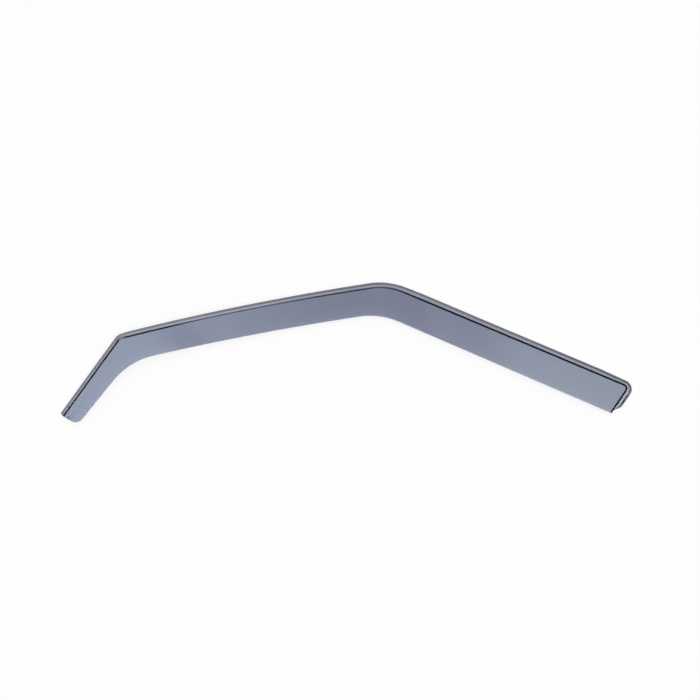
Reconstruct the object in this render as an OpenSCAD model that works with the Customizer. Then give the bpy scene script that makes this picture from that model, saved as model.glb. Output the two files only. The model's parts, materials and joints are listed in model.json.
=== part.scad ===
// Window rain deflector for a front side door, formed from one sheet of tinted acrylic.
//
// The sheet lies as it would on a bench, car side down: X along the door, Z out of the door.
// Seen from above, three runs follow the window frame: a short front run beside the mirror, a
// middle run up the windscreen pillar and a roof run back to the door pillar. A joggle line
// goes along all three and turns down across the rear end. Outside that line is the recessed
// lip that slides into the window channel, and inside it is the raised shield.
//
// Every point is worked out in plan first, as a distance from the joggle line, and is then
// lifted onto the barrel curve that the door glass has.

/* [Sheet] */
// Thickness of the acrylic sheet
sheet_t = 3; // [2:0.1:4]
// Inside radius of the joggle's two bends
bend_r = 0.6; // [0.4:0.1:1.2]
// The same where the joggle line itself turns, at the front corner and the apex
soft_bend_r = 2.4; // [1.2:0.1:3]
// Length over which the bends soften before the middle of the front corner, and sharpen past it
corner_soft_len = 9; // [6:1:16]
// The same at the apex
apex_soft_len = 40; // [28:1:60]
// Radius of the door glass, across the roof run
glass_r = 2000; // [1400:50:6000]

/* [Runs] */
// Straight length of the front run
front_run = 152; // [120:1:190]
// Length of the middle run, between its two bends
middle_run = 406; // [320:1:480]
// Straight length of the roof run
roof_run = 383; // [300:1:460]
// Slope of the roof run in the sheet's own frame
roof_slope = -22.8; // [-30:0.1:0]
// Turn at the apex, from the middle run to the roof run
apex_turn = 31.6; // [24:0.1:38]
// Radius of the joggle line at the apex
apex_r = 99; // [70:1:130]
// Radius of the middle run, which is slightly bowed
middle_r = 4400; // [3000:50:9000]
// Turn at the front corner
front_turn = 39.5; // [34:0.1:46]
// Radius of the joggle line at the front corner
front_corner_r = 7.5; // [7:0.5:12]
// Slant of the front tip's cut, from square to the front run
tip_slant = 7; // [0:0.5:16]
// Slant of the rear end, from square to the roof run
rear_slant = 12.9; // [4:0.1:20]
// Radius of the joggle line at the rear corner
rear_corner_r = 6.5; // [5:0.5:6.5]

/* [Shield] */
// Width of the shield at the front tip, from the joggle line
tip_w = 27; // [22:0.5:30]
// Width of the shield where the front run ends
front_w = 35; // [30:0.5:38]
// Width of the shield where the middle run starts
middle_w = 39.2; // [34:0.1:42]
// Width of the shield where the middle run ends
middle_end_w = 43.3; // [38:0.5:46]
// Width of the shield where the roof run starts
roof_w = 47.2; // [42:0.1:50]
// Width of the shield at the rear end
rear_w = 50.5; // [46:0.5:56]
// How far the free edge's front curve reaches along the middle run
front_sweep = 43; // [36:1:60]
// How far the free edge's apex curve reaches back along the middle run
apex_sweep = 24; // [16:1:34]
// How far the free edge stands out beyond the joggle
crown = 1.9; // [0.5:0.1:3]
// Radius of the front tip's corner at the free edge
tip_r = 11; // [7:0.5:12]

/* [Lip] */
// Width of the lip along the roof run, from the joggle line
lip_w = 8.7; // [7.5:0.1:11]
// Width of the lip where the roof run starts
apex_lip_w = 9.1; // [7.5:0.1:11]
// Width of the lip along the middle run
middle_lip_w = 7.8; // [6.8:0.1:10]
// Width of the lip along the front run
front_lip_w = 6.5; // [6:0.1:9]
// Length over which the lip widens past the front corner
front_blend = 18; // [8:1:40]
// Length past the middle of the apex over which the lip widens
apex_blend = 66; // [30:1:80]
// Length over which it then narrows
roof_blend = 100; // [60:5:150]
// Width of the lip where the rear corner starts
corner_lip_w = 7.4; // [7:0.1:10]
// Length of the roof run over which the lip narrows to that
rear_blend = 24; // [10:1:60]
// Width of the lip across the rear end
rear_lip_w = 9.5; // [7.5:0.1:10.5]
// Width of the thinned band along the lip's edge
band_w = 3.8; // [2.5:0.1:4.2]
// How much thinner that band is
band_cut = 0.8; // [0.4:0.1:1.2]
// Radius of the lip's corner at the front tip
lip_tip_r = 4; // [2:0.5:6]
// Length over which the lip runs out at the rear end
lip_runout = 15; // [8:1:20]
// Bare length between the lip's end and the free edge
lip_gap = 4; // [1:0.5:6]

/* [Joggle] */
// Depth of the joggle along the front run and past the front corner
front_step = 4.4; // [3:0.1:5.5]
// Length of the middle run that keeps that depth
front_hold = 38; // [20:1:70]
// Length over which the depth then falls
front_fall = 88; // [40:1:110]
// Depth of the joggle halfway along the middle run
middle_step = 1.5; // [1.2:0.1:5.5]
// Length of the middle run's upper end over which the depth grows
upper_rise = 150; // [60:1:170]
// Length of the middle run's upper end that keeps the depth it has grown to
upper_hold = 30; // [10:1:50]
// Depth of the joggle near the middle run's upper end
upper_step = 2.5; // [1.8:0.1:5.5]
// Depth of the joggle halfway round the apex
apex_step = 2.1; // [1.8:0.1:5.5]
// Length from there to where the roof run has its full depth
roof_rise = 90; // [60:1:120]
// Depth of the joggle along the roof run and the rear end
roof_step = 4.6; // [3:0.1:5.5]

/* [Hidden] */

// Stations along each stretch, and rows across the shield (0 at its shoulder, 1 at its edge)
tip_n = 5;
front_n = 5;
front_near_share = 0.95;
corner_n = 7;
middle_n = 16;
apex_n = 10;
roof_n = 8;
rear_corner_n = 8;
bend_n = 4;
rows = [0, 0.22, 0.42, 0.58, 0.68, 0.76, 0.82, 0.88, 0.94, 1];
row_n = len(rows) - 1;

// Shares of the middle run and the roof run at their stations, closer together past a bend
near_shares = [0, 0.02, 0.045, 0.08];
far_share = 0.12;
middle_shares = concat(near_shares, [for (k = [0:middle_n - 1]) mix(far_share, 1, k / middle_n)]);
roof_shares = concat(near_shares, [for (k = [0:roof_n]) mix(far_share, 1, k / roof_n)]);

// The shield stays level as far in as the rear corner's centre, and its crown starts there
shoulder = rear_corner_r;

// Length of the front run over which the stations turn from the tip's cut to square
square_run = front_run / 2;

// The joggle's half width where it is deepest, and the least lip that is left beside it
lip_root = sheet_t / 2 + bend_r;
lip_least = 0.3;

// The largest share of the lip's flat that its thinned band takes
band_share = 0.8;

// Headings, turning clockwise from the front tip to the rear end
roof_a = roof_slope;
middle_end_a = roof_a + apex_turn;
middle_turn = middle_run / middle_r * 180 / PI;
middle_a = middle_end_a + middle_turn;
front_a = middle_a + front_turn;
rear_turn = 90 + rear_slant;
rear_a = roof_a - rear_turn;

function unit(a) = [cos(a), sin(a)];
function inward(a) = [sin(a), -cos(a)];
function heading(v) = atan2(v.y, v.x);
function mix(a, b, f) = a + (b - a) * f;
function smooth(f) = let (c = min(1, max(0, f))) c * c * (3 - 2 * c);

// Where the line from p along heading a meets the line from q along heading b
function meet(p, a, q, b) =
    let (d = q - p, k = (d.x * sin(b) - d.y * cos(b)) / sin(b - a)) p + unit(a) * k;

// A station is [place on the joggle line, heading, distance from the front tip]
function on_line(p, a, s, k) = [p + unit(a) * k, a, s + k];
function on_arc(p, a, s, r, turn) =
    [p + (inward(a) - inward(a - turn)) * r, a - turn, s + r * turn * PI / 180];

// The joggle line's key places, from the front tip to the free edge at the rear end
tip = [[0, 0], front_a, 0];
front_end = on_line(tip[0], tip[1], tip[2], front_run);
middle_start = on_arc(front_end[0], front_end[1], front_end[2], front_corner_r, front_turn);
middle_end = on_arc(middle_start[0], middle_start[1], middle_start[2], middle_r, middle_turn);
roof_start = on_arc(middle_end[0], middle_end[1], middle_end[2], apex_r, apex_turn);
roof_end = on_line(roof_start[0], roof_start[1], roof_start[2], roof_run);
rear_start = on_arc(roof_end[0], roof_end[1], roof_end[2], rear_corner_r, rear_turn);

// Distances along the front run: close together where the tip's corners are rounded, with one
// more station just before the front corner
tip_steps = [for (k = [0:tip_n]) tip_r * (1 - cos(90 * k / tip_n))];
front_shares = concat([for (k = [1:front_n - 1]) k / front_n], [front_near_share]);
front_steps = [for (f = front_shares) mix(tip_r, front_run, f)];

// The joggle line's stations along the three runs
line_stations = concat(
    [for (k = concat(tip_steps, front_steps)) on_line(tip[0], tip[1], tip[2], k)],
    [for (k = [0:corner_n - 1])
        on_arc(front_end[0], front_end[1], front_end[2], front_corner_r, front_turn * k / corner_n)],
    [for (f = middle_shares)
        on_arc(middle_start[0], middle_start[1], middle_start[2], middle_r, middle_turn * f)],
    [for (k = [0:apex_n - 1])
        on_arc(middle_end[0], middle_end[1], middle_end[2], apex_r, apex_turn * k / apex_n)],
    [for (f = roof_shares) on_line(roof_start[0], roof_start[1], roof_start[2], roof_run * f)]
);
line_n = len(line_stations);

// The way out across the lip at a distance s along the line with heading a, as long as it takes
// to go 1 mm square to the line
function skew_at(s) = tip_slant * (1 - smooth(s / square_run));
function out_at(s, a) = unit(a + 90 + skew_at(s)) / cos(skew_at(s));

// The free edge along the middle run, at a share f of its length
function middle_edge(f) =
    let (s = on_arc(middle_start[0], middle_start[1], 0, middle_r, middle_turn * f))
    s[0] + inward(s[1]) * mix(middle_w, middle_end_w, f);
middle_taper = atan((middle_end_w - middle_w) / middle_run);
function middle_edge_a(f) = middle_a - middle_turn * f - middle_taper;

// The free edge's two straight stretches, each as a place and a heading
tip_edge = -out_at(0, front_a) * tip_w;
front_edge_a = heading(front_end[0] + inward(front_a) * front_w - tip_edge);
roof_edge = roof_start[0] + inward(roof_a) * roof_w;
roof_edge_a = heading(roof_end[0] + inward(roof_a) * rear_w - roof_edge);

// The front curve and the apex curve are arcs, with equal tangents on both sides of a vertex
front_f = front_sweep / middle_run;
front_curve_end = middle_edge(front_f);
front_curve_end_a = middle_edge_a(front_f);
front_vertex = meet(tip_edge, front_edge_a, front_curve_end, front_curve_end_a);
front_curve_start = front_vertex - unit(front_edge_a) * norm(front_curve_end - front_vertex);
apex_f = 1 - apex_sweep / middle_run;
apex_curve_start = middle_edge(apex_f);
apex_curve_start_a = middle_edge_a(apex_f);
apex_vertex = meet(apex_curve_start, apex_curve_start_a, roof_edge, roof_edge_a);
apex_curve_end = apex_vertex + unit(roof_edge_a) * norm(apex_curve_start - apex_vertex);
function edge_arc(p, a, q, b, f) =
    let (r = norm(q - p) / (2 * sin((a - b) / 2))) on_arc(p, a, 0, r, (a - b) * f)[0];

// The rear end's shoulder starts at the rear corner's centre and runs down to the free edge
rear_centre = roof_end[0] + inward(roof_a) * rear_corner_r;
rear_foot = meet(roof_edge, roof_edge_a, rear_centre, rear_a);

// How much a rounded corner takes off the sheet at a distance k from the tip's cut
function corner_cut(r, k) = k >= r ? 0 : r - sqrt(r * r - (r - k) * (r - k));

// The free edge's stations, one for each of the joggle line's
front_edge_len = norm(front_curve_start - tip_edge);
front_edge_steps = [for (f = front_shares) mix(tip_r, front_edge_len, f)];
edge_points = concat(
    [for (k = concat(tip_steps, front_edge_steps))
        tip_edge + unit(front_edge_a) * k + out_at(k, front_a) * corner_cut(tip_r, k)],
    [for (k = [0:corner_n - 1])
        edge_arc(front_curve_start, front_edge_a, front_curve_end, front_curve_end_a, k / corner_n)],
    [for (f = middle_shares) middle_edge(mix(front_f, apex_f, f))],
    [for (k = [0:apex_n - 1])
        edge_arc(apex_curve_start, apex_curve_start_a, apex_curve_end, roof_edge_a, k / apex_n)],
    [for (f = roof_shares) mix(apex_curve_end, rear_foot, f)]
);

// A size that changes along the line is given by marks, each [distance from the tip, size], and
// goes smoothly from one mark to the next
function marked(marks, s, k) = k == 0
    ? marks[0][1]
    : let (from = marks[k - 1], to = marks[k], f = smooth((s - from[0]) / (to[0] - from[0])))
    f > 0 ? mix(from[1], to[1], f) : marked(marks, s, k - 1);

corner_middle = (front_end[2] + middle_start[2]) / 2;
apex_middle = (middle_end[2] + roof_start[2]) / 2;

// Joggle depth at a distance s along the line
step_marks = [
    [middle_start[2] + front_hold, front_step],
    [middle_start[2] + front_hold + front_fall, middle_step],
    [middle_end[2] - upper_hold - upper_rise, middle_step],
    [middle_end[2] - upper_hold, upper_step],
    [apex_middle, apex_step],
    [apex_middle + roof_rise, roof_step]
];
function step_at(s) = marked(step_marks, s, len(step_marks) - 1);

// Inside radius of the joggle's bends at a distance s along the line
bend_marks = [
    [corner_middle - corner_soft_len, bend_r],
    [corner_middle, soft_bend_r],
    [corner_middle + corner_soft_len, bend_r],
    [apex_middle - apex_soft_len, bend_r],
    [apex_middle, soft_bend_r],
    [apex_middle + apex_soft_len, bend_r]
];
function bend_at(s) = marked(bend_marks, s, len(bend_marks) - 1);

// Lip width at a distance s along the line
lip_marks = [
    [front_end[2], front_lip_w],
    [front_end[2] + front_blend, middle_lip_w],
    [apex_middle, middle_lip_w],
    [apex_middle + apex_blend, apex_lip_w],
    [apex_middle + apex_blend + roof_blend, lip_w],
    [roof_end[2] - rear_blend, lip_w],
    [roof_end[2], corner_lip_w],
    [rear_start[2], rear_lip_w]
];
function lip_at(s) =
    max(marked(lip_marks, s, len(lip_marks) - 1) - corner_cut(lip_tip_r, s), lip_root + lip_least);

// Lip width at the rear end, at a distance k above the free edge
function rear_lip_at(k) =
    lip_root + max(lip_least, (rear_lip_w - lip_root) * smooth((k - lip_gap) / lip_runout));

// Height of the crown at row f of the shield
function crown_at(f) = crown * f * (2 - f);

// Section across the lip and the joggle, as [distance out from the joggle line, height].
// It starts on the shoulder's face, goes over the lip and comes back under the shoulder. The
// thinned band takes no more than its share of the lip's flat, and its small wall slants.
function section(step, lip, r) =
    let (
        outer = sheet_t + r,
        bend_a = acos(max(0, 1 - step / (outer + r))),
        half = (outer + r) * sin(bend_a) / 2,
        thin_w = min(band_w, (lip - half) * band_share),
        wall_w = band_cut / 2 * thin_w / band_w
    )
    concat(
        [[-shoulder, step + sheet_t]],
        [for (k = [0:bend_n]) let (a = 90 - bend_a * k / bend_n)
            [-half + outer * cos(a), step - r + outer * sin(a)]],
        [for (k = [0:bend_n]) let (a = 270 - bend_a * (1 - k / bend_n))
            [half + r * cos(a), outer + r * sin(a)]],
        [
            [lip - thin_w, sheet_t],
            [lip - thin_w + wall_w, sheet_t - band_cut],
            [lip, sheet_t - band_cut],
            [lip, 0]
        ],
        [for (k = [0:bend_n]) let (a = 270 - bend_a * k / bend_n)
            [half + outer * cos(a), outer + outer * sin(a)]],
        [for (k = [0:bend_n]) let (a = 90 - bend_a * (1 - k / bend_n))
            [-half + r * cos(a), step - r + r * sin(a)]],
        [[-shoulder, step]]
    );
section_n = len(section(roof_step, lip_w, bend_r));

// A section set at a place, out along direction d and widened by k where it is cut aslant
function placed(p, d, k, sec) = [for (q = sec) [p.x + d.x * q.x * k, p.y + d.y * q.x * k, q.y]];

// The lip and joggle along the three runs
run_sections = [for (s = line_stations)
    placed(s[0], out_at(s[2], s[1]), 1, section(step_at(s[2]), lip_at(s[2]), bend_at(s[2])))];

// Round the rear corner
corner_sections = [for (k = [1:rear_corner_n]) let (
    s = on_arc(roof_end[0], roof_a, roof_end[2], rear_corner_r, rear_turn * k / rear_corner_n))
    placed(s[0], -inward(s[1]), 1, section(roof_step, lip_at(s[2]), bend_r))];

// Down the rear end, turning from square to in line with the free edge
rear_sections = [for (k = [1:row_n]) let (
    f = rows[k],
    on_shoulder = mix(rear_centre, rear_foot, f),
    skew = (roof_edge_a - roof_a + rear_slant) * f,
    d = unit(rear_a + 90 + skew),
    wide = 1 / cos(skew),
    above_edge = norm(rear_foot - rear_centre) * (1 - f))
    placed(on_shoulder + d * shoulder * wide, d, wide,
        section(roof_step + crown_at(f), rear_lip_at(above_edge), bend_r))];

// The shield's rows from its shoulder to its free edge, over the sheet and then under it
shield_rows = [for (i = [0:line_n - 2]) let (
    s = line_stations[i],
    from = s[0] - out_at(s[2], s[1]) * shoulder,
    step = step_at(s[2]))
    [for (face = [sheet_t, 0]) each [for (k = [1:row_n])
        let (p = mix(from, edge_points[i], rows[k]))
        [p.x, p.y, step + crown_at(rows[k]) + face]]]];

// Every point, lifted onto the barrel, whose crest is halfway between roof lip and front tip
function across(p) = (p - roof_start[0]) * inward(roof_a);
tip_lip = tip[0] + out_at(0, front_a) * lip_at(0);
crest = (across(tip_lip) - lip_w) / 2;
function lifted(p) = let (d = across([p.x, p.y]) - crest)
    [p.x, p.y, p.z + sqrt(glass_r * glass_r - d * d) - glass_r];

ribbon = concat(run_sections, corner_sections, rear_sections);
ribbon_n = len(ribbon);
flat_points = concat(
    [for (s = ribbon) each s],
    [for (c = shield_rows) each c]
);
points = [for (p = flat_points) lifted(p)];

// The origin is under the middle of the sheet, at the height it lies on
low = [min([for (p = points) p.x]), min([for (p = points) p.y]), min([for (p = points) p.z])];
high = [max([for (p = points) p.x]), max([for (p = points) p.y])];
centred = [for (p = points) [p.x - (low.x + high.x) / 2, p.y - (low.y + high.y) / 2, p.z - low.z]];

// The number of point k on section i. Round the rear corner the sections share the two points
// at its centre.
function at_ribbon(i, k) =
    let (shared = (k == 0 || k == section_n - 1) && i >= line_n && i < line_n + rear_corner_n)
    (shared ? line_n - 1 : i) * section_n + k;

// The number of the shield's point on row k at station i, over (side 0) or under (side 1) the
// sheet. The last station's rows are the shoulder points of the rear end's sections.
function at_shield(i, k, side) = i == line_n - 1
    ? at_ribbon(line_n + rear_corner_n + k - 1, side * (section_n - 1))
    : ribbon_n * section_n + (2 * i + side) * row_n + k - 1;

// The points of section i, and of the whole loop round the sheet at station i
function section_at(i) = [for (k = [0:section_n - 1]) at_ribbon(i, k)];
function loop_at(i) = concat(
    section_at(i),
    [for (k = [1:row_n]) at_shield(i, k, 1)],
    [for (k = [row_n:-1:1]) at_shield(i, k, 0)]
);

// The triangles between two neighbouring rows of points, left out where a row's points meet
function band(a, b) = [
    for (k = [1:len(a) - 1])
        for (t = [[a[k - 1], b[k], b[k - 1]], [a[k - 1], a[k], b[k]]])
            if (t[0] != t[1] && t[1] != t[2] && t[2] != t[0]) t
];
function closed(a) = concat(a, [a[0]]);
function reversed(a) = [for (k = [len(a) - 1:-1:0]) a[k]];

module deflector() {
    runs = [for (i = [1:line_n - 1]) each band(closed(loop_at(i - 1)), closed(loop_at(i)))];
    rear = [for (i = [line_n:ribbon_n - 1]) each band(section_at(i - 1), section_at(i))];
    tip_cut = reversed(loop_at(0));
    foot_cut = section_at(ribbon_n - 1);
    color([0.22, 0.24, 0.31, 0.85])
        polyhedron(points = centred, faces = concat(runs, rear, [tip_cut, foot_cut]), convexity = 6);
}

deflector();
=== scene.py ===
import json
import math

import bpy
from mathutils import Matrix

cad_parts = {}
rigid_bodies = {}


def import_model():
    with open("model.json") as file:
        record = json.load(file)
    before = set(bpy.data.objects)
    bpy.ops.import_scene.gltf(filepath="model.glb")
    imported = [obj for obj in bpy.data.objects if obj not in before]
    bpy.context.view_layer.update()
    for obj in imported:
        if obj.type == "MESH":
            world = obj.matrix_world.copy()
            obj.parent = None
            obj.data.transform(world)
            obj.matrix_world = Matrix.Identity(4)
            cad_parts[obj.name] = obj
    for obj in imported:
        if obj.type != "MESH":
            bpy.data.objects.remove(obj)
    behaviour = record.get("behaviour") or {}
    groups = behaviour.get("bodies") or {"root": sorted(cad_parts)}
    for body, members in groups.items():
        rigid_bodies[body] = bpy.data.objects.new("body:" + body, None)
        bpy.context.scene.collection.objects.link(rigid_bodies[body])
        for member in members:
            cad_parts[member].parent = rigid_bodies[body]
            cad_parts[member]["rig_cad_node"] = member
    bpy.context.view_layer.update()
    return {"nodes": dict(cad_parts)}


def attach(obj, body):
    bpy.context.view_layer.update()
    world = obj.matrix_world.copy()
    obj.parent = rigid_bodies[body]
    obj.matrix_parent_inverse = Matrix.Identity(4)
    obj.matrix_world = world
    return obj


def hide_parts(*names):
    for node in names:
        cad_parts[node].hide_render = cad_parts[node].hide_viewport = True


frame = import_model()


# The camera looks straight down on the sheet, which lies with its car side on the table. It stands
# about two metres off, so that both ends are seen, and mirrored, a little from the side.
LENS = 70.0
SENSOR = 36.0
VIEW_WIDTH = 1.12
VIEW_CENTRE = (0.0058, 0.0036)
FACE_HEIGHT = 0.009

stand_off = VIEW_WIDTH * LENS / SENSOR
bpy.ops.object.camera_add(location=(*VIEW_CENTRE, FACE_HEIGHT + stand_off), rotation=(0, 0, 0))
camera = bpy.context.object
camera.data.lens = LENS
camera.data.sensor_width = SENSOR
bpy.context.scene.camera = camera
bpy.context.scene.view_settings.view_transform = "Standard"


# The table: a broad sheet of white matt paper. It glows a little towards the camera and through the
# acrylic, more so far off where the lamp is dim, which keeps it white all over, and its matt part
# still takes the soft shadow of the sheet.
PAPER_SIZE = 12.0
PAPER_MATT = 0.38
PAPER_GLOW = 0.765
PAPER_GLOW_THROUGH = 0.16
FAR_GLOW = 0.14
FAR_FROM = 0.9
FAR_TO = 3.5


class Finish:
    """A socket of one material: signs between two of them add Math nodes."""

    def __init__(self, tree, socket=None):
        self.tree, self.socket = tree, socket

    def add(self, kind, inputs, out=0, **settings):
        node = self.tree.nodes.new("ShaderNode" + kind)
        for name, value in settings.items():
            setattr(node, name, value)
        for place, value in inputs.items():
            if isinstance(value, Finish):
                self.tree.links.new(value.socket, node.inputs[place])
            else:
                node.inputs[place].default_value = value
        return Finish(self.tree, node.outputs[out])

    def math(self, operation, first, second):
        return self.add("Math", {0: first, 1: second}, operation=operation)

    def __add__(self, other):
        return self.math("ADD", self, other)

    def __sub__(self, other):
        return self.math("SUBTRACT", self, other)

    def __rsub__(self, other):
        return self.math("SUBTRACT", other, self)

    def __mul__(self, other):
        return self.math("MULTIPLY", self, other)

    def largest(self, other):
        return self.math("MAXIMUM", self, other)

    def size(self):
        return self.math("ABSOLUTE", self, 0.0)

    def rising(self, low, high):
        """0 up to low and 1 from high on, eased between them."""
        ends = {1: low, 2: high, 3: 0.0, 4: 1.0}
        return self.add("MapRange", {0: self, **ends}, interpolation_type="SMOOTHSTEP", clamp=True)

    __radd__ = __add__
    __rmul__ = __mul__


def new_finish(name):
    """A material with its output node alone, as a Finish to build on, and that node."""
    material = bpy.data.materials.new(name)
    material.use_nodes = True
    material.node_tree.nodes.clear()
    output = material.node_tree.nodes.new("ShaderNodeOutputMaterial")
    return material, Finish(material.node_tree), output


def seen_directly(base):
    """1 for what the camera, a mirror image or a look through the acrylic shows, 0 otherwise."""
    rays = [base.add("LightPath", {}, out=ray) for ray in
            ("Is Camera Ray", "Is Glossy Ray", "Is Transmission Ray")]
    return rays[0].largest(rays[1]).largest(rays[2])


bpy.ops.object.select_all(action="DESELECT")
bpy.ops.mesh.primitive_plane_add(size=PAPER_SIZE, location=(0, 0, 0))
paper = bpy.context.object
paper.name = "paper"
paper_white, base, output = new_finish("paper_white")
matt = base.add("BsdfDiffuse", {"Color": (PAPER_MATT, PAPER_MATT, PAPER_MATT, 1)})
looked_through = base.add("LightPath", {}, out="Is Transmission Ray")
place = base.add("TexCoord", {}, out="Object")
far_off = base.add("VectorMath", {0: place}, out="Value", operation="LENGTH")
far_glow = far_off.rising(FAR_FROM, FAR_TO) * FAR_GLOW
direct_glow = seen_directly(base) * (PAPER_GLOW + far_glow)
glow = base.add("Emission", {"Strength": direct_glow + looked_through * PAPER_GLOW_THROUGH})
whole = base.add("AddShader", {0: matt, 1: glow})
base.tree.links.new(whole.socket, output.inputs["Surface"])
paper.data.materials.append(paper_white)


# Studio light: one broad soft lamp above the table, and a plain white room. What the polished face
# mirrors is a ceiling with a soft cool lamp to the left of the camera and two to its right, over
# walls that are dimmer down to the white backdrop behind the table.
LAMP_SIZE = 3.0
LAMP_HEIGHT = 2.6
LAMP_POWER = 34.0
ROOM_LIGHT = 0.25
WALLS = 0.15
CEILING = 2.7
CEILING_FALL = 4.0
CEILING_EDGE = (0.75, 0.92)
BACKDROP_EDGE = (0.3, 0.1)
LEFT_LAMP = 1.35
LEFT_EDGE = (0.0, -0.18)
LEFT_TONE = (1.0, 1.35, 1.7, 1)
RIGHT_LAMP = 0.5
RIGHT_EDGE = (0.095, 0.135)
FAR_RIGHT_LAMP = 1.3
FAR_RIGHT_SLANT = 0.37
FAR_RIGHT_EDGE = (0.093, 0.147)
RIGHT_TONE = (1.0, 1.2, 1.2, 1)

bpy.ops.object.light_add(type="AREA", location=(0, 0, LAMP_HEIGHT))
lamp = bpy.context.object
lamp.name = "overhead_lamp"
lamp.data.size = LAMP_SIZE
lamp.data.energy = LAMP_POWER
lamp.visible_glossy = False
lamp.visible_camera = False
lamp.visible_transmission = False

room = bpy.context.scene.world or bpy.data.worlds.new("room")
bpy.context.scene.world = room
room.use_nodes = True
room.node_tree.nodes.clear()
base = Finish(room.node_tree)
direction = base.add("TexCoord", {}, out="Generated")
sideways = base.add("SeparateXYZ", {0: direction}, out="X")
away = base.add("SeparateXYZ", {0: direction}, out="Y")
upwards = base.add("SeparateXYZ", {0: direction}, out="Z")
left_lamp = sideways.rising(*LEFT_EDGE) * LEFT_LAMP
slanted = sideways - away * FAR_RIGHT_SLANT
right_lamps = (sideways.rising(*RIGHT_EDGE) * RIGHT_LAMP
               + slanted.rising(*FAR_RIGHT_EDGE) * FAR_RIGHT_LAMP)
ceiling = CEILING - away * CEILING_FALL
overhead = upwards.rising(*CEILING_EDGE)
backdrop = upwards.rising(*BACKDROP_EDGE)
mirrored = base.add("LightPath", {}, out="Is Glossy Ray")
seen = seen_directly(base)
in_mirror = overhead * (ceiling - WALLS) + backdrop * (1 - WALLS) + WALLS
strength = mirrored * in_mirror + (1 - mirrored) * (seen + (1 - seen) * ROOM_LIGHT)
plain = base.add("Background", {"Color": (1, 1, 1, 1), "Strength": strength})
left = base.add("Background", {"Color": LEFT_TONE, "Strength": mirrored * overhead * left_lamp})
right = base.add("Background", {"Color": RIGHT_TONE,
                                "Strength": mirrored * overhead * right_lamps})
background = base.add("AddShader", {0: base.add("AddShader", {0: plain, 1: left}), 1: right})
world_output = room.node_tree.nodes.new("ShaderNodeOutputWorld")
base.tree.links.new(background.socket, world_output.inputs["Surface"])


# The deflector: one sheet of 3 mm smoked acrylic, cut to outline and pressed hot over a form, which
# sets the lip along its upper side back from the shield. Its cut edges are broken by hand, and the
# outer few millimetres of the lip are milled thinner, which leaves them matt.
SAME_POINT = 0.000001
FLAT_PAIR = math.radians(4)
SQUARE_PAIR = math.radians(60)

bpy.ops.object.select_all(action="DESELECT")
solid = frame["nodes"]["deflector"]
solid.select_set(True)
bpy.context.view_layer.objects.active = solid
bpy.ops.object.duplicate()
sheet = bpy.context.object
sheet.name = "smoked_sheet"
del sheet["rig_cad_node"]
bpy.ops.object.mode_set(mode="EDIT")
bpy.ops.mesh.select_all(action="SELECT")
bpy.ops.mesh.remove_doubles(threshold=SAME_POINT)
bpy.ops.mesh.tris_convert_to_quads(face_threshold=FLAT_PAIR, shape_threshold=SQUARE_PAIR)
bpy.ops.object.mode_set(mode="OBJECT")

# The milled band is found by its thickness: a ray into each level face of the lip meets the back of
# the sheet sooner there. The joggle's bends and wall are narrow faces that slope, but have the
# sheet's own thickness.
FACES_UP = -0.05
LEVEL = 0.8
JUST_INSIDE = 1e-4
MILLED_BELOW = 0.0026
JOGGLE_BELOW = 0.0034
JOGGLE_TILT = math.cos(math.radians(8))
JOGGLE_FACET = 0.0023

for mask in ("milled", "joggle", "satin"):
    sheet.data.attributes.new(mask, "FLOAT", "FACE")
milled = sheet.data.attributes["milled"].data
joggle = sheet.data.attributes["joggle"].data
satin = sheet.data.attributes["satin"].data
faces = sheet.data.polygons
corners = sheet.data.vertices
bends = set()


def edge_length(edge):
    """The length of an edge that is given by its two corners."""
    return math.dist(corners[edge[0]].co, corners[edge[1]].co)


for face in faces:
    if face.normal.z > FACES_UP:
        hit, place, _, _ = sheet.ray_cast(face.center - face.normal * JUST_INSIDE, -face.normal)
        depth = (place - face.center).length if hit else 1.0
        if face.normal.z > LEVEL and depth < MILLED_BELOW:
            milled[face.index].value = 1.0
        narrow = face.area < JOGGLE_FACET * max(edge_length(edge) for edge in face.edge_keys)
        if face.normal.z < JOGGLE_TILT and narrow and MILLED_BELOW < depth < JOGGLE_BELOW:
            bends.add(face.index)

# The rest of the lip's flat starts at the small wall where the milling stops, and is left satin by
# the forming, as the rims beside the cut edges are a little. Painted shade darkens the milled band
# towards that wall, like a shadow of the step, and most near the rear end.
WALL_BELOW = 0.5
CUT_BELOW = 0.3
FLAT_SATIN = 0.45
RIM_SATIN = 0.12
INNER_SHADE = 0.58
INNER_FROM = (-0.33, -0.2)
REAR_SHADE = 0.32
REAR_FROM = (0.27, 0.36)


def eased(value, ends):
    """How far a value has come from the first end to the second, from 0 to 1."""
    part = min(max((value - ends[0]) / (ends[1] - ends[0]), 0.0), 1.0)
    return part * part * (3 - 2 * part)


# Which faces share an edge, and so lie beside each other.
sharing = {}
for face in faces:
    for edge in face.edge_keys:
        sharing.setdefault(edge, []).append(face.index)
beside = [{other for edge in face.edge_keys for other in sharing[edge]} - {face.index}
          for face in faces]

# Painted shade of the small step: the milled band's corners at the wall get a darkness, more near
# the rear end.
painted_step_shade = sheet.data.attributes.new("painted_step_shade", "FLOAT", "POINT").data
for face in faces:
    if milled[face.index].value == 1.0:
        for wall in beside[face.index]:
            if abs(faces[wall].normal.z) < WALL_BELOW:
                flats = [flat for flat in beside[wall] if faces[flat].normal.z > LEVEL
                         and milled[flat].value == 0.0]
                for corner in set(face.vertices) & set(faces[wall].vertices) if flats else ():
                    x = corners[corner].co.x
                    painted_step_shade[corner].value = (INNER_SHADE * eased(x, INNER_FROM)
                                           + REAR_SHADE * eased(x, REAR_FROM))
                for flat in flats:
                    satin[flat].value = FLAT_SATIN
    elif abs(face.normal.z) < CUT_BELOW and face.index not in bends:
        for rim in beside[face.index]:
            if faces[rim].normal.z > LEVEL and milled[rim].value == satin[rim].value == 0.0:
                satin[rim].value = RIM_SATIN
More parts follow.
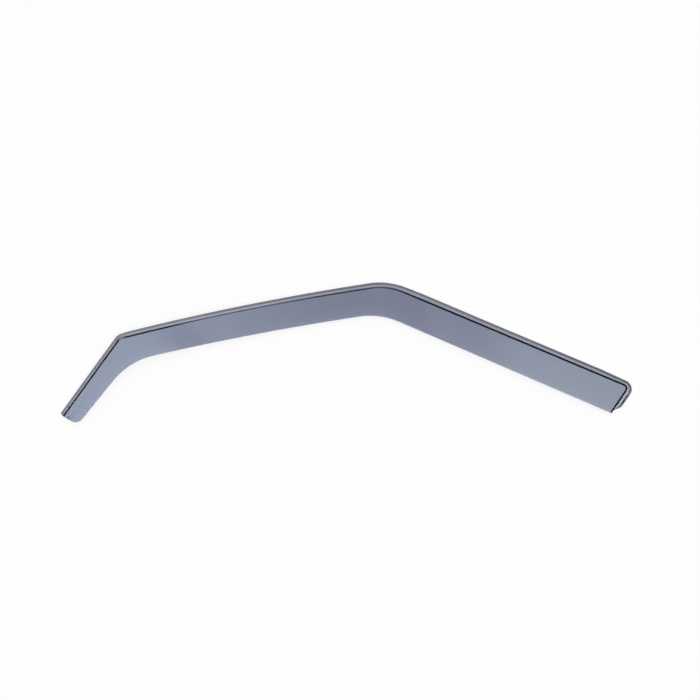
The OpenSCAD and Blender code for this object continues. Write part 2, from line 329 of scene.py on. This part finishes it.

# The hollow bend at the joggle's foot, whose neighbours across it stand in front of it, is satin,
# less so where it is wide. The rest of the joggle gets painted shade where it slopes, by its tilt,
# most of all along the roof run; at the front corner most of it is left off, with satin in its
# place.
ACROSS = 0.6
STANDS_BACK = -1e-5
HOLLOW_FACET = 0.00022
TILTS = (8, 14, 36, 60, 80)
FRONT_DARK = (0, 0.6, 0.05, 0, 0)
MIDDLE_DARK = (0, 0.25, 0.4, 0.25, 0.1)
ROOF_DARK = (0, 0.45, 1.0, 0.6, 0.3)
FRONT_RUN = (-0.357, -0.372)
ROOF_RUN = (0.045, 0.1)
CORNER = (-0.3592, 0.0203)
CORNER_SPOT = 0.0042
CORNER_SHADE_KEPT = 0.25
CORNER_SATIN = 0.55


def dark_at(tilt, darks):
    """How much painted shade a run's joggle gets where it is tilted by so many degrees."""
    for low, high, first, last in zip(TILTS, TILTS[1:], darks, darks[1:]):
        if low <= tilt <= high:
            return first + (last - first) * (tilt - low) / (high - low)
    return darks[-1] if tilt > TILTS[-1] else darks[0]


for index in bends:
    face = faces[index]
    longest = max(edge_length(edge) for edge in face.edge_keys)
    rises = [(faces[other].center - face.center).dot(face.normal) for edge in face.edge_keys
             if edge_length(edge) > ACROSS * longest for other in sharing[edge] if other != index]
    if min(rises) > STANDS_BACK:
        satin[index].value = min(HOLLOW_FACET * longest / face.area, 1.0)
    elif satin[index].value == 0.0:
        tilt = math.degrees(math.acos(face.normal.z))
        roof = eased(face.center.x, ROOF_RUN)
        front = eased(face.center.x, FRONT_RUN)
        dark = (dark_at(tilt, ROOF_DARK) * roof + dark_at(tilt, FRONT_DARK) * front
                + dark_at(tilt, MIDDLE_DARK) * (1 - roof - front))
        # At the front corner most of the painted shade is left off, and satin takes its place.
        if math.dist(face.center[:2], CORNER) < CORNER_SPOT:
            dark *= CORNER_SHADE_KEPT
            satin[index].value = CORNER_SATIN
        joggle[index].value = dark

# The cut edges are broken with a scraper all round, and every bend is left smooth.
EDGE_BREAK = 0.00035
CUT_EDGE = math.radians(50)
SMOOTH_BELOW = math.radians(40)

breaks = sheet.modifiers.new("edge_break", "BEVEL")
breaks.width = EDGE_BREAK
breaks.segments = 2
breaks.limit_method = "ANGLE"
breaks.angle_limit = CUT_EDGE
bpy.ops.object.modifier_apply(modifier="edge_break")
bpy.ops.object.shade_smooth_by_angle(angle=SMOOTH_BELOW)

# Smoked acrylic: the tint is in the sheet itself, and both faces are polished and a little wavy.
# The milled band is a speckled matt grey with painted shade towards its inner side, the forming
# leaves satin places, the joggle's slopes carry painted shade, and a short dark strip is painted on
# the rear end of the lip.
SHEET_TINT = (0.219, 0.26, 0.415, 1)
TINT_DENSITY = 800.0
LAMP_TINT = (0.3, 0.33, 0.4, 1)
ACRYLIC_IOR = 1.49
POLISH = 0.06
WAVE_SCALE = 14.0
WAVE_HEIGHT = 0.002
WAVE_STRENGTH = 0.05
MILLED_GREY = (0.23, 0.235, 0.25, 1)
MILLED_ROUGH = 0.55
MILLED_LEAST = 0.45
MILLED_SPECKLE = 0.7
SPECKLE_SCALE = 180.0
SCRATCH_DEPTH = 0.0003
SCRATCH_STRENGTH = 0.4
SATIN_GREY = (0.71, 0.7, 0.76, 1)
SATIN_ROUGH = 0.4
# The near-black of the painted shade and of the painted dark strip.
PAINTED_DARK = (0.003, 0.004, 0.034, 1)
JOGGLE_SHADE_COVER = 0.97
# A short dark strip painted on the rear end of the lip, its place and width.
DARK_STRIP_START = (0.4512, -0.068)
DARK_STRIP_WAY = (-0.544, -0.839)
DARK_STRIP_LENGTH = 0.018
DARK_STRIP_FIRST_END = (-0.001, 0.001)
DARK_STRIP_LAST_END = (DARK_STRIP_LENGTH, DARK_STRIP_LENGTH - 0.003)
DARK_STRIP_SIDES = (0.0014, 0.0006)
DARK_STRIP_COVER = 0.8

smoked, base, output = new_finish("smoked_acrylic")
place = base.add("TexCoord", {}, out="Object")
waves = base.add("TexNoise", {"Vector": place, "Scale": WAVE_SCALE, "Detail": 1.0})
ripple = base.add("Bump", {
    "Height": waves, "Strength": WAVE_STRENGTH, "Distance": WAVE_HEIGHT})
polished = base.add("BsdfPrincipled", {
    "Base Color": (1, 1, 1, 1), "Roughness": POLISH, "IOR": ACRYLIC_IOR,
    "Transmission Weight": 1.0, "Normal": ripple})
speckle = base.add("TexNoise", {"Vector": place, "Scale": SPECKLE_SCALE, "Detail": 3.0})
scratches = base.add("Bump", {
    "Height": speckle, "Strength": SCRATCH_STRENGTH, "Distance": SCRATCH_DEPTH})
matt = base.add("BsdfPrincipled", {
    "Base Color": MILLED_GREY, "Roughness": MILLED_ROUGH, "IOR": ACRYLIC_IOR,
    "Normal": scratches})
haze = base.add("BsdfPrincipled", {
    "Base Color": SATIN_GREY, "Roughness": SATIN_ROUGH, "IOR": ACRYLIC_IOR})
# A near-black matt shader that paints the shade and the dark strip.
painted_dark = base.add("BsdfDiffuse", {"Color": PAINTED_DARK})

flat = base.add("Attribute", {}, out="Fac", attribute_name="satin")
band = base.add("Attribute", {}, out="Fac", attribute_name="milled")
bend = base.add("Attribute", {}, out="Fac", attribute_name="joggle")
step_shade = base.add("Attribute", {}, out="Fac", attribute_name="painted_step_shade")
along = base.add("SeparateXYZ", {0: place}, out="X") - DARK_STRIP_START[0]
up = base.add("SeparateXYZ", {0: place}, out="Y") - DARK_STRIP_START[1]
way = along * DARK_STRIP_WAY[0] + up * DARK_STRIP_WAY[1]
off = (along * DARK_STRIP_WAY[1] - up * DARK_STRIP_WAY[0]).size()
dark_strip = way.rising(*DARK_STRIP_FIRST_END) * way.rising(*DARK_STRIP_LAST_END) * off.rising(*DARK_STRIP_SIDES)

surface = base.add("MixShader", {0: flat, 1: polished, 2: haze})
milling = band * (MILLED_LEAST + MILLED_SPECKLE * speckle)
surface = base.add("MixShader", {0: milling, 1: surface, 2: matt})
# Painted shade on the joggle's sloping faces.
surface = base.add("MixShader", {0: bend * JOGGLE_SHADE_COVER, 1: surface, 2: painted_dark})
# The short dark strip painted on the rear end of the lip.
surface = base.add("MixShader", {0: band * dark_strip * DARK_STRIP_COVER, 1: surface, 2: painted_dark})
# Painted shade across the milled band, darker towards the small wall.
surface = base.add("MixShader", {0: band * step_shade * step_shade, 1: surface, 2: painted_dark})
through = base.add("BsdfTransparent", {"Color": LAMP_TINT})
lamp_ray = base.add("LightPath", {}, out="Is Shadow Ray")
whole = base.add("MixShader", {0: lamp_ray, 1: surface, 2: through})
tint = base.add("VolumeAbsorption", {"Color": SHEET_TINT, "Density": TINT_DENSITY})
base.tree.links.new(whole.socket, output.inputs["Surface"])
base.tree.links.new(tint.socket, output.inputs["Volume"])
sheet.data.materials.clear()
sheet.data.materials.append(smoked)

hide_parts("deflector")
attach(sheet, "root")
